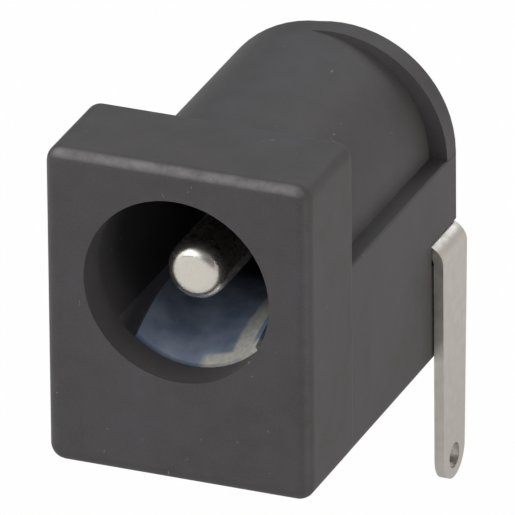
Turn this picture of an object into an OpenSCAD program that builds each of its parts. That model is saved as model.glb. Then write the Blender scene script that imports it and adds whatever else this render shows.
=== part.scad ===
// DC barrel jack for a printed circuit board.
// A one-piece black housing holds a turned centre pin, its riveted rear terminal, a sprung
// sleeve contact below the bore and a switch terminal bent down the right-hand side.
// Origin: centre of the socket mouth. +Y runs into the socket, +Z up, the board lies below.

/* [Flange] */
// Width of the front flange
flange_w = 9; // [7.5:0.1:12]
// Height of the front flange
flange_h = 11; // [10.5:0.1:14]
// Thickness of the front flange, front to back
flange_d = 3.85; // [2.5:0.05:5]
// Rounding of the flange's corners, seen from the front
flange_corner = 0.55; // [0.5:0.05:1]
// Rounding of the flange's front edges
flange_round = 0.45; // [0.2:0.05:0.5]
// Rounding of the flange's rear edges
flange_rear_round = 0.25; // [0.1:0.05:0.4]

/* [Body] */
// Overall length of the housing
body_l = 13; // [12.4:0.1:16]
// Width of the lower block behind the flange
body_w = 8.94; // [7.4:0.02:9]
// Height of the socket axis above the board
axis_h = 6.7; // [6:0.1:8]
// Radius of the round barrel behind the flange
barrel_r = 3.85; // [3.6:0.05:4.1]
// Rounding of the rear rim
rear_round = 0.3; // [0.1:0.05:0.5]
// Rounding of the block's lower edges
block_round = 0.5; // [0.1:0.05:0.6]
// Rounding of the block's upper edges
ledge_round = 0.08; // [0.04:0.02:0.2]
// Thickness of the rear collar on the switch side
collar_d = 1; // [0.5:0.1:1.6]
// Sideways offset of the rear collar from the barrel
collar_shift = 0.55; // [0.3:0.05:0.7]

/* [Socket] */
// Radius of the socket bore
bore_r = 3.15; // [3:0.05:3.3]
// Depth of the socket bore
bore_depth = 10.2; // [9.2:0.1:10.6]
// Thickness of the lip in front of the sleeve contact
lip_d = 1.25; // [0.9:0.05:1.3]
// Extra radius of the bore behind the lip
bore_relief = 0.2; // [0.18:0.01:0.22]
// Width of the window under the sleeve contact
window_w = 5.3; // [5.2:0.02:5.3]

/* [Centre pin] */
// Radius of the centre pin
pin_r = 1; // [0.8:0.05:1.3]
// Distance from the mouth back to the pin's tip
pin_setback = 1.4; // [0.8:0.1:2.5]
// Rounding of the pin's tip
tip_round = 0.5; // [0.2:0.05:0.7]
// Radius of the shoulder that seats on the bore's floor
shoulder_r = 1.55; // [1.4:0.05:1.9]
// Thickness of the shoulder
shoulder_d = 0.5; // [0.3:0.1:1]
// Radius of the riveted tail
tail_r = 0.6; // [0.4:0.05:0.7]
// Radius of the rivet head
rivet_r = 1.05; // [0.9:0.05:1.3]
// Height of the rivet head
rivet_h = 0.3; // [0.2:0.05:0.4]
// Depth of the rivet head below the rear face
rivet_sink = 0.15; // [0:0.05:0.4]
// Radius of the rear terminal's eye
eye_r = 1.75; // [1.4:0.05:2]

/* [Sheet metal] */
// Thickness of the sleeve contact and centre terminal
sheet_t = 0.3; // [0.2:0.02:0.36]
// Thickness of the switch terminal
switch_t = 0.33; // [0.2:0.02:0.38]
// Length of the hidden legs below the board face
leg_l = 3.8; // [3:0.1:5]
// Width of the hidden legs
leg_w = 2; // [1.4:0.1:2.4]
// Gap between a metal piece and the plastic around it
play = 0.05; // [0.03:0.01:0.1]
// Running gap around the pin and its tail
pin_play = 0.02; // [0.01:0.01:0.04]

/* [Sleeve contact] */
// Distance from the mouth to the leaf's front edge
leaf_front = 1.38; // [1.34:0.02:1.9]
// Distance from the mouth to the leg's front face
leg_y = 7.7; // [7.2:0.1:8.4]
// Distance from the socket axis to the leaf's front edge
leaf_r = 3.1; // [3:0.05:3.2]
// Rise of the leaf from its front edge to its crown
leaf_rise = 0.8; // [0.5:0.05:1]
// Angle the leaf wraps up the left side
leaf_left_deg = 38; // [30:1:42]
// Angle the leaf wraps up the right side
leaf_right_deg = 43; // [34:1:44]
// Reach of the switch ear from the centre line
ear_reach = 3.5; // [3.3:0.05:3.6]
// Length of the switch ear along the jack
ear_l = 0.8; // [0.5:0.1:1.1]

/* [Switch terminal] */
// Distance from the mouth to the blade's front edge
blade_y = 10.64; // [9.8:0.02:10.7]
// Width of the blade at its top
blade_w = 2.1; // [1.6:0.1:2.2]
// Narrowing of the blade from top to tip
blade_taper = 0.26; // [0:0.02:0.4]
// Length of the blade below the board face
blade_l = 4.28; // [3:0.1:5]
// Height of the strip's top above the board
strip_h = 4.3; // [4.2:0.02:4.4]
// Outer radius of the bend at the housing's side
bend_r = 0.66; // [0.5:0.02:0.8]
// Radius of the wire hole in the blade
hole_r = 0.43; // [0.3:0.01:0.5]
// Height of the wire hole's centre above the tip
hole_up = 0.76; // [0.72:0.02:1.2]
// Width of the inner switch finger
finger_w = 0.8; // [0.5:0.1:0.9]
// Distance from the centre line to the finger's inner edge
finger_x = 2.7; // [2.62:0.02:2.8]

/* [Hidden] */
$fn = 72;
eps = 0.02;

board_z = -axis_h;
top_z = flange_h - axis_h;
side_x = body_w / 2;
through = 1;

// rear wall: the centre terminal lies in a recess behind it
recess_d = sheet_t + rivet_h + rivet_sink;
recess_y = body_l - recess_d;
recess_r = eye_r + play;

// window under the leaf, and the angles of the leaf's arch
inner_r = bore_r + bore_relief;
window_x = window_w / 2;
window_top = -sqrt(pow(inner_r, 2) - pow(window_x, 2)) + play;
window_end = leg_y + sheet_t + play;
leaf_end = leg_y + sheet_t / 2;
crown_y = (leaf_front + leaf_end) / 2;
arch_chord = (leaf_end - leaf_front) / 2;
arch_r = (pow(arch_chord, 2) + pow(leaf_rise, 2)) / (2 * leaf_rise);
arch_half_deg = asin(arch_chord / arch_r);
arch_z = -leaf_r + leaf_rise - arch_r;

// switch strip: its top and underside, and the blade's inner face
strip_top = board_z + strip_h;
strip_low = strip_top - switch_t;
blade_x = side_x + play;
bend_x = blade_x + switch_t - bend_r;
bend_z = strip_top - bend_r;
ear_y = leg_y - ear_l;
ear_root = leg_w / 2 - sheet_t / 3;
finger_front = ear_y + play;
tip_r = (blade_w - blade_taper) / 2;
tip_z = board_z - blade_l + tip_r;

housing_col = "#48464a";
pin_col = "#c8c3b9";
contact_col = "#8f949b";
terminal_col = "#bfb8b0";

// Turns a solid made along +Z so that it runs along +Y.
module along_y() {
  rotate([-90, 0, 0]) children();
}

// Flat outline of width w and depth d, centred on x, with its own rounding front and rear.
module rounded_outline(w, d, front_r, rear_r) {
  translate([-w / 2, front_r]) square([w, d - front_r - rear_r]);
  translate([-w / 2 + front_r, 0]) square([w - 2 * front_r, front_r + eps]);
  translate([-w / 2 + rear_r, d - rear_r - eps]) square([w - 2 * rear_r, rear_r + eps]);
  for (side = [-1, 1]) {
    translate([side * (w / 2 - front_r), front_r]) circle(front_r);
    translate([side * (w / 2 - rear_r), d - rear_r]) circle(rear_r);
  }
}

// Cylinder along +Y from y0 to y1 with its rear rim rounded.
module rear_rounded_cylinder(r, y0, y1, edge_r) {
  l = y1 - y0;
  translate([0, y0, 0]) along_y() rotate_extrude() {
    square([r - edge_r, l]);
    square([r, l - edge_r]);
    translate([r - edge_r, l - edge_r]) circle(edge_r);
  }
}

// Box given by its two opposite corners.
module box(low, high) {
  translate(low) cube(high - low);
}

// Quarter of a disc whose rim has the flange's front and rear roundings: one flange corner.
module flange_corner_quarter() {
  along_y() rotate_extrude(angle = 90) {
    square([flange_corner - flange_round, flange_d]);
    translate([0, flange_round]) square([flange_corner, flange_d - flange_round - flange_rear_round]);
    translate([0, flange_round]) square([flange_corner - flange_rear_round, flange_d - flange_round]);
    translate([flange_corner - flange_round, flange_round]) circle(flange_round);
    translate([flange_corner - flange_rear_round, flange_d - flange_rear_round]) circle(flange_rear_round);
  }
}

// Front flange, rounded on every edge.
module flange() {
  post_x = flange_w / 2 - flange_corner;
  post_z = flange_h / 2 - flange_corner;
  translate([0, 0, board_z + flange_corner]) linear_extrude(2 * post_z)
    rounded_outline(flange_w, flange_d, flange_round, flange_rear_round);
  translate([-post_x, 0, board_z + flange_h / 2]) rotate([90, 0, 90])
    linear_extrude(2 * post_x) rotate(-90)
      rounded_outline(flange_h, flange_d, flange_round, flange_rear_round);
  for (corner = [[1, -1, 0], [-1, -1, 90], [-1, 1, 180], [1, 1, 270]])
    translate([corner[0] * post_x, 0, board_z + flange_h / 2 + corner[1] * post_z])
      rotate([0, corner[2], 0]) flange_corner_quarter();
}

// Lower block, as wide as the flange and level with the socket axis.
module lower_block() {
  start = flange_d / 2;
  length = body_l - start;
  intersection() {
    translate([0, body_l, board_z]) rotate([90, 0, 0]) linear_extrude(length)
      rounded_outline(body_w, axis_h, block_round, ledge_round);
    translate([0, start, board_z]) linear_extrude(axis_h)
      rounded_outline(body_w, length, eps, rear_round);
  }
}

// Collar at the rear of the barrel, flush with the block's switch side.
module rear_collar() {
  start = body_l - collar_d;
  intersection() {
    translate([collar_shift, 0, 0])
      rear_rounded_cylinder(side_x - collar_shift, start, body_l, rear_round);
    box([-flange_w, start - through, 0], [flange_w, body_l + through, flange_h]);
  }
}

// Plastic of the housing before anything is cut from it.
module housing_body() {
  flange();
  rear_rounded_cylinder(barrel_r, flange_d / 2, body_l, rear_round);
  lower_block();
  rear_collar();
}

// Bore, wider behind its lip, contact window, pin hole and rear recess.
module socket_cuts() {
  translate([0, -through, 0]) along_y() cylinder(r = bore_r, h = lip_d + eps + through);
  translate([0, lip_d, 0]) along_y() cylinder(r = inner_r, h = bore_depth - lip_d);
  along_y() cylinder(r = pin_r + pin_play, h = body_l);
  box([-window_x, lip_d, board_z - through], [window_x, window_end, window_top]);
  translate([0, recess_y, 0]) along_y() cylinder(r = recess_r, h = recess_d + through);
  box([-leg_w / 2 - play, recess_y, board_z - through], [leg_w / 2 + play, body_l + through, 0]);
}

// Slot for the switch terminal, open to the rear and the right, and the notch for the ear.
module switch_cuts() {
  low = strip_low - play;
  high = strip_top + play;
  inner_x = finger_x - play;
  outer_x = max(finger_x + finger_w, ear_reach) + play;
  box([inner_x, ear_y - play, low], [finger_x + finger_w + play, body_l + through, high]);
  box([inner_x, blade_y - play, low], [side_x + through, body_l + through, high]);
  box([bend_x - play, blade_y - play, bend_z - play], [side_x + through, body_l + through, high]);
  box([window_x - eps, ear_y - play, board_z - through], [outer_x, window_end, high]);
}

module housing() {
  color(housing_col) difference() {
    housing_body();
    socket_cuts();
    switch_cuts();
  }
}

// Half outline of the turned pin: tip, shank, shoulder, shank, tail and rivet head.
module pin_half_outline() {
  tail_start = recess_y;
  head_start = recess_y + sheet_t;
  translate([0, pin_setback]) square([pin_r - tip_round, tip_round + eps]);
  translate([pin_r - tip_round, pin_setback + tip_round]) circle(tip_round);
  translate([0, pin_setback + tip_round]) square([pin_r, tail_start - pin_setback - tip_round]);
  translate([0, bore_depth - shoulder_d]) square([shoulder_r, shoulder_d]);
  translate([0, tail_start - eps]) square([tail_r, sheet_t + 2 * eps]);
  translate([0, head_start]) square([rivet_r, rivet_h / 2]);
  translate([0, head_start]) square([rivet_r - rivet_h / 2, rivet_h]);
  translate([rivet_r - rivet_h / 2, head_start + rivet_h / 2]) circle(rivet_h / 2);
}

module centre_pin() {
  color(pin_col) along_y() rotate_extrude() pin_half_outline();
}

// Flat leg with a round tip, from z = bottom up to z = top, its front face at y.
module flat_leg(y, w, top, bottom, t) {
  translate([0, y + t, 0]) rotate([90, 0, 0]) linear_extrude(t) {
    translate([-w / 2, bottom + w / 2]) square([w, top - bottom - w / 2]);
    translate([0, bottom + w / 2]) circle(w / 2);
  }
}

// Rear terminal: a round eye under the rivet head, with the leg running down from it.
module centre_pin_terminal() {
  color(terminal_col) difference() {
    union() {
      flat_leg(recess_y, leg_w, 0, board_z - leg_l, sheet_t);
      translate([0, recess_y, 0]) along_y() cylinder(r = eye_r, h = sheet_t);
    }
    translate([0, recess_y - eps, 0]) along_y() cylinder(r = tail_r + pin_play, h = sheet_t + 2 * eps);
  }
}

// Section of the leaf: part of a ring that opens towards the socket axis.
module leaf_section() {
  reach = 2 * (leaf_r + sheet_t);
  intersection() {
    difference() {
      circle(leaf_r + sheet_t);
      circle(leaf_r);
    }
    polygon([
      [0, 0],
      reach * [-cos(leaf_right_deg), -sin(leaf_right_deg)],
      [-reach * 1.5, 0],
      reach * [-cos(leaf_left_deg), sin(leaf_left_deg)]
    ]);
  }
}

// Leaf of the sleeve contact: dished across, arched along, and cut square at both ends.
module contact_leaf() {
  reach = inner_r + sheet_t + through;
  sweep = arch_half_deg + 8;
  intersection() {
    translate([0, crown_y, arch_z]) rotate([0, -90, 0]) rotate([0, 0, -sweep])
      rotate_extrude(angle = 2 * sweep) translate([arch_r + leaf_r, 0]) leaf_section();
    box([-reach, leaf_front, -reach], [reach, leg_y + sheet_t, 0]);
  }
}

// Sleeve contact: the leaf, with a leg at its rear and an ear for the switch.
module sleeve_contact() {
  color(contact_col) {
    contact_leaf();
    flat_leg(leg_y, leg_w, -leaf_r, board_z - leg_l, sheet_t);
    box([ear_root, ear_y, strip_low - sheet_t], [ear_reach, leg_y, strip_low]);
  }
}

// Side view of the switch blade: tapered, with a round tip and a wire hole.
module blade_outline() {
  tip_y = blade_y + tip_r;
  difference() {
    union() {
      polygon([
        [blade_y, bend_z],
        [blade_y, tip_z],
        [blade_y + 2 * tip_r, tip_z],
        [blade_y + blade_w, bend_z]
      ]);
      translate([tip_y, tip_z]) circle(tip_r);
    }
    translate([tip_y, board_z - blade_l + hole_up]) circle(hole_r);
  }
}

// Switch terminal: inner finger and plate, a bend at the side wall, and the blade outside it.
module switch_terminal() {
  blade_end = blade_y + blade_w;
  color(terminal_col) {
    box([finger_x, finger_front, strip_low], [finger_x + finger_w, blade_end, strip_top]);
    box([finger_x, blade_y, strip_low], [bend_x + eps, blade_end, strip_top]);
    translate([bend_x, blade_end, bend_z]) rotate([90, 0, 0])
      rotate_extrude(angle = 90) translate([bend_r - switch_t, 0]) square([switch_t, blade_w]);
    translate([blade_x, 0, 0]) rotate([90, 0, 90]) linear_extrude(switch_t) blade_outline();
  }
}

housing();
centre_pin();
centre_pin_terminal();
sleeve_contact();
switch_terminal();
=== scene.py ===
"""Board-mount power socket: a black moulded housing, its centre pin and three stamped contacts."""
from math import cos, radians, sin

import bpy
from mathutils import Matrix, Vector


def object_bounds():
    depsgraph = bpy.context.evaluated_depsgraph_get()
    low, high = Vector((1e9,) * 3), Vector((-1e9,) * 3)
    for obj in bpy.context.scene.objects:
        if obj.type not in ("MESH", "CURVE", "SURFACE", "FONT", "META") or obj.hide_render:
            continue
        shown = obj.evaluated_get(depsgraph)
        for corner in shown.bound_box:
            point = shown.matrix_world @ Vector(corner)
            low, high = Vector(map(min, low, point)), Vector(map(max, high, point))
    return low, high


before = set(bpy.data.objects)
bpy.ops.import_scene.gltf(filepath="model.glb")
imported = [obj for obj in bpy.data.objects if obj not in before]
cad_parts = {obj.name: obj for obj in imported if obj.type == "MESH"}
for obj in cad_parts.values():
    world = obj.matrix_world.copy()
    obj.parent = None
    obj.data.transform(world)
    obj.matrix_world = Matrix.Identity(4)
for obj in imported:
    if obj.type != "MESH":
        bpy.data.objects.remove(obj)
cad_box = [list(corner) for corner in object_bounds()]
mm = 0.001


# ---------------------------------------------------------------- camera
# The jack is seen from its front right and a little above, from far off through a long lens,
# so that its parallel edges stay almost parallel.
azimuth, elevation, roll = radians(22.2), radians(25.76), radians(0.54)
back = Vector((sin(azimuth) * cos(elevation), -cos(azimuth) * cos(elevation), sin(elevation)))
level = Vector((cos(azimuth), sin(azimuth), 0))
upright = back.cross(level)
camera_x = level * cos(roll) - upright * sin(roll)
camera_y = level * sin(roll) + upright * cos(roll)
aim = Vector((0, 6.5, -1.2)) * mm
camera_distance = 500 * mm
sideways, downwards = 0.12 * mm, 0.455 * mm
camera = bpy.data.objects.new("camera", bpy.data.cameras.new("camera"))
camera.data.sensor_width = 36
camera.data.lens = 1098.5
camera.data.clip_start = 0.05
camera.data.clip_end = 5
place = aim + back * camera_distance + camera_x * sideways - camera_y * downwards
turn = Matrix((camera_x, camera_y, back)).transposed().to_4x4()
camera.matrix_world = Matrix.Translation(place) @ turn
bpy.context.collection.objects.link(camera)
bpy.context.scene.camera = camera


# ---------------------------------------------------------------- housing
# One moulding in black thermoplastic with a fine spark-eroded grain: a rectangular flange,
# a round barrel and a lower block. Its outer edges are rubbed grey by handling, with a painted highlight
# along the top-front edge and a painted bluish sheen in patches.
def new_material(name):
    material = bpy.data.materials.new(name)
    material.use_nodes = True
    material.node_tree.nodes.clear()
    output = material.node_tree.nodes.new("ShaderNodeOutputMaterial")
    shader = material.node_tree.nodes.new("ShaderNodeBsdfPrincipled")
    material.node_tree.links.new(shader.outputs["BSDF"], output.inputs["Surface"])
    return material, shader


class Nodes:
    """Adds nodes to one material; their inputs are values or the outputs of other nodes."""

    def __init__(self, material):
        self.tree = material.node_tree
        self.place = self.add("TexCoord").outputs["Object"]

    def add(self, kind, settings=None, **inputs):
        node = self.tree.nodes.new("ShaderNode" + kind)
        for key, value in (settings or {}).items():
            setattr(node, key, value)
        for key, value in inputs.items():
            self.feed(node, key.replace("_", " "), value)
        return node

    def feed(self, node, key, value):
        socket = node.inputs[int(key)] if key.isdigit() else node.inputs[key]
        if isinstance(value, bpy.types.NodeSocket):
            self.tree.links.new(value, socket)
        else:
            socket.default_value = value

    def math(self, operation, a, b=0.0):
        node = self.add("Math", {"operation": operation})
        self.feed(node, "0", a)
        self.feed(node, "1", b)
        return node.outputs[0]

    def noise(self, per_mm, detail, roughness=0.5, distortion=0.0):
        return self.add("TexNoise", Vector=self.place, Scale=per_mm / mm, Detail=detail,
                        Roughness=roughness, Distortion=distortion).outputs["Fac"]

    def ramp(self, value, low, high, to_low=0.0, to_high=1.0):
        node = self.add("MapRange", {"clamp": True}, Value=value)
        numbers = {"From Min": low, "From Max": high, "To Min": to_low, "To Max": to_high}
        for key, number in numbers.items():
            node.inputs[key].default_value = number
        return node.outputs["Result"]

    def mix(self, share, a, b):
        node = self.add("Mix", {"data_type": "RGBA"})
        for index, value in ((0, share), (6, a), (7, b)):
            self.feed(node, str(index), value)
        return node.outputs[2]

    def bump(self, height, strength, distance, normal=None):
        node = self.add("Bump", Height=height, Strength=strength, Distance=distance)
        if normal is not None:
            self.feed(node, "Normal", normal)
        return node.outputs["Normal"]


def colour(red, green, painted_blue_reflection):
    """Linear colour from the three display values 0 to 255."""
    def linear(v):
        v /= 255
        return v / 12.92 if v <= 0.04045 else ((v + 0.055) / 1.055) ** 2.4
    return (linear(red), linear(green), linear(painted_blue_reflection), 1)


def black_plastic():
    material, shader = new_material("black_moulded_plastic")
    n = Nodes(material)
    mottle = n.ramp(n.noise(1.1, 3), 0.35, 0.65)
    # large bluish patches placed at random: a painted bluish sheen
    bluish_sheen_patches = n.ramp(n.noise(0.35, 2), 0.42, 0.62)
    grain = n.noise(14, 3, 0.7)
    base = n.mix(mottle, colour(72, 70, 70), colour(77, 75, 77))
    base = n.mix(n.math("MULTIPLY", bluish_sheen_patches, 0.35), base, colour(84, 83, 88))
    base = n.mix(n.ramp(grain, 0.35, 0.7, 0.0, 0.35), base, colour(98, 95, 95))
    # the front edges are painted pale: rubbed wear on all of them, and most along the top, where the
    # paint is also a painted highlight, broken up by noise
    facing = n.add("SeparateXYZ", Vector=n.add("NewGeometry").outputs["Normal"]).outputs
    front = n.math("MULTIPLY", facing["Y"], -2.0)
    sideways_facing = n.math("ABSOLUTE", facing["X"])
    # normals facing front and up: the top-front edge, painted pale as a highlight as well as wear
    top_wear_and_highlight = n.ramp(n.math("MULTIPLY", front, facing["Z"]), 0.55, 0.98)
    worn_side = n.ramp(n.math("MULTIPLY", front, sideways_facing), 0.8, 1.0, 0.0, 0.12)
    patchy = n.ramp(n.noise(2.2, 4, 0.65), 0.3, 0.62, 0.35, 0.85)
    wear_and_highlight = n.math("MULTIPLY", n.math("MAXIMUM", top_wear_and_highlight, worn_side), patchy)
    base = n.mix(wear_and_highlight, base, colour(142, 140, 141))
    specks = n.ramp(n.noise(3.4, 2, 0.4, 1.5), 0.75, 0.79, 0.0, 0.45)
    base = n.mix(specks, base, colour(165, 162, 160))
    n.feed(shader, "Base Color", base)
    n.feed(shader, "Roughness", n.ramp(grain, 0.2, 0.8, 0.5, 0.62))
    shader.inputs["Specular IOR Level"].default_value = 0.3
    coarse = n.bump(n.noise(5, 3, 0.6), 0.25, 0.01 * mm)
    n.feed(shader, "Normal", n.bump(grain, 0.4, 0.006 * mm, coarse))
    return material


def finish(node_name, material):
    """Puts one material on every slot of a CAD node."""
    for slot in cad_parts[node_name].material_slots:
        slot.material = material


finish("housing", black_plastic())


# ---------------------------------------------------------------- centre pin
# Turned brass, nickel plated, with a rounded tip; its tail is riveted over the rear terminal.
def nickel(name, tint, roughness):
    material, shader = new_material(name)
    n = Nodes(material)
    shader.inputs["Metallic"].default_value = 1
    n.feed(shader, "Base Color", tint)
    n.feed(shader, "Roughness", n.ramp(n.noise(3, 3), 0.3, 0.7, roughness * 0.8, roughness * 1.3))
    return material


finish("centre_pin", nickel("turned_nickel", colour(226, 222, 212), 0.27))


# ---------------------------------------------------------------- sleeve contact
# Sprung leaf below the pin with its leg, stamped in one from plated strip and pressed
# up into the housing from below. Its colour holds a painted bluish reflection, a painted cream reflection
# of the pin along its crown and a painted highlight at its front edge.
def sprung_leaf():
    """Painted bluish reflection, with a painted cream stripe reflecting the pin and a painted pale
    highlight patch at the front.
    """
    material, shader = new_material("spring_nickel")
    n = Nodes(material)
    shader.inputs["Metallic"].default_value = 0.35
    at = n.add("SeparateXYZ", Vector=n.place).outputs
    drift = n.ramp(n.noise(0.9, 3), 0.3, 0.7, -0.06 * mm, 0.06 * mm)
    across = n.math("ADD", at["X"], drift)
    along = n.math("ADD", at["Y"], drift)
    # a cream stripe along the crown: painted reflection of the pin's underside
    off_reflection_stripe = n.math("ABSOLUTE", n.math("SUBTRACT", across, 1.55 * mm))
    painted_reflection_stripe = n.ramp(off_reflection_stripe, 0.28 * mm, 0.42 * mm, 1.0, 0.0)
    streaks = n.ramp(n.noise(6, 3, 0.6), 0.35, 0.65, 0.65, 1.0)
    # a pale patch at the front right: painted highlight on the front edge
    at_front = n.ramp(along, 1.7 * mm, 1.85 * mm, 1.0, 0.0)
    at_right = n.ramp(across, 0.2 * mm, 0.45 * mm)
    painted_highlight_patch = n.math("MULTIPLY", at_front, at_right)
    painted_reflections = n.math("MULTIPLY", n.math("MAXIMUM", painted_reflection_stripe, painted_highlight_patch), streaks)
    cloud = n.ramp(n.noise(1.3, 3), 0.35, 0.65)
    # the bluish colour is a painted reflection, clouded at random
    painted_blue_reflection = n.mix(cloud, colour(138, 152, 178), colour(172, 184, 206))
    n.feed(shader, "Base Color", n.mix(painted_reflections, painted_blue_reflection, colour(250, 246, 232)))
    n.feed(shader, "Roughness", n.ramp(n.noise(4, 3), 0.3, 0.7, 0.28, 0.42))
    n.feed(shader, "Normal", n.bump(n.noise(5, 3), 0.2, 0.01 * mm))
    return material


finish("sleeve_contact", sprung_leaf())


# ---------------------------------------------------------------- terminals
# Two stamped strips, tinned and dull: the switch blade is bent down outside the right wall,
# and the centre pin's terminal is riveted behind the rear wall.
for terminal in ("switch_terminal", "centre_pin_terminal"):
    finish(terminal, nickel("dull_tin_" + terminal, colour(205, 200, 192), 0.42))


# ---------------------------------------------------------------- floor and light
# A pale floor under the board legs, and large soft lamps all round the jack: the strongest at
# the upper left, weaker ones in front, at the right and behind.
def white_share(tree, glossy):
    """Output that is 1 for what the camera sees and `glossy` for reflections and clear parts."""
    rays = tree.nodes.new("ShaderNodeLightPath")
    clear = tree.nodes.new("ShaderNodeMath")
    clear.operation = "MAXIMUM"
    gloss = tree.nodes.new("ShaderNodeMath")
    gloss.operation = "MULTIPLY"
    gloss.inputs[1].default_value = glossy
    seen = tree.nodes.new("ShaderNodeMath")
    seen.operation = "MAXIMUM"
    tree.links.new(rays.outputs["Is Glossy Ray"], clear.inputs[0])
    tree.links.new(rays.outputs["Is Transmission Ray"], clear.inputs[1])
    tree.links.new(clear.outputs[0], gloss.inputs[0])
    tree.links.new(rays.outputs["Is Camera Ray"], seen.inputs[0])
    tree.links.new(gloss.outputs[0], seen.inputs[1])
    return seen.outputs[0]


floor_z = cad_box[0][2]
half = 400 * mm
corners = [(-half, -half, floor_z), (half, -half, floor_z), (half, half, floor_z), (-half, half, floor_z)]
floor_mesh = bpy.data.meshes.new("floor")
floor_mesh.from_pydata(corners, [], [(0, 1, 2, 3)])
floor = bpy.data.objects.new("floor", floor_mesh)
bpy.context.collection.objects.link(floor)
floor_material = bpy.data.materials.new("pale_floor")
floor_material.use_nodes = True
tree = floor_material.node_tree
tree.nodes.clear()
out = tree.nodes.new("ShaderNodeOutputMaterial")
mix = tree.nodes.new("ShaderNodeMixShader")
diffuse = tree.nodes.new("ShaderNodeBsdfDiffuse")
diffuse.inputs["Color"].default_value = (0.75, 0.75, 0.75, 1)
glow = tree.nodes.new("ShaderNodeEmission")
share = tree.nodes.new("ShaderNodeMath")
share.operation = "MULTIPLY"
share.inputs[1].default_value = 0.985  # the rest keeps the jack's shadow
tree.links.new(white_share(tree, 0.5), share.inputs[0])
tree.links.new(share.outputs[0], mix.inputs["Fac"])
tree.links.new(diffuse.outputs[0], mix.inputs[1])
tree.links.new(glow.outputs[0], mix.inputs[2])
tree.links.new(mix.outputs[0], out.inputs["Surface"])
floor_mesh.materials.append(floor_material)

world = bpy.data.worlds.new("studio")
bpy.context.scene.world = world
world.use_nodes = True
tree = world.node_tree
sky = tree.nodes["Background"]
sky.inputs["Color"].default_value = (0.08, 0.08, 0.085, 1)
white = tree.nodes.new("ShaderNodeBackground")
mix = tree.nodes.new("ShaderNodeMixShader")
tree.links.new(white_share(tree, 0.15), mix.inputs["Fac"])
tree.links.new(sky.outputs[0], mix.inputs[1])
tree.links.new(white.outputs[0], mix.inputs[2])
tree.links.new(mix.outputs[0], tree.nodes["World Output"].inputs["Surface"])


lamp_distance, lamp_size = 0.3, 0.16


def soft_light(name, bearing, height, power, tint):
    """A square lamp at a bearing from the front, in degrees to the right, and a height above level."""
    lamp = bpy.data.lights.new(name, "AREA")
    lamp.shape = "SQUARE"
    lamp.size = lamp_size
    lamp.energy = power
    lamp.color = tint
    a, e = radians(bearing), radians(height)
    way = Vector((sin(a) * cos(e), -cos(a) * cos(e), sin(e)))
    stand = bpy.data.objects.new(name, lamp)
    stand.location = aim + way * lamp_distance
    stand.rotation_euler = way.to_track_quat("Z", "Y").to_euler()
    bpy.context.collection.objects.link(stand)


soft_light("left_low", -60, 15, 0.10, (1, 1, 0.95))
soft_light("left_front", -25, 22, 0.2, (0.95, 1, 1.04))
soft_light("right_front", 68, 12, 0.22, (1.03, 0.99, 0.95))
soft_light("left_high", -60, 50, 0.29, (1, 0.97, 0.92))
soft_light("right_high", 60, 50, 0.08, (1.05, 0.98, 0.92))
soft_light("right_low", 110, 10, 0.12, (1.08, 0.98, 0.9))
soft_light("rear_right", 150, 10, 0.03, (1, 0.98, 1))
soft_light("rear_high", 165, 35, 0.16, (0.97, 1, 1.04))
soft_light("rear_left", -150, 45, 0.12, (0.97, 1, 1.04))

bpy.context.scene.view_settings.view_transform = "Standard"
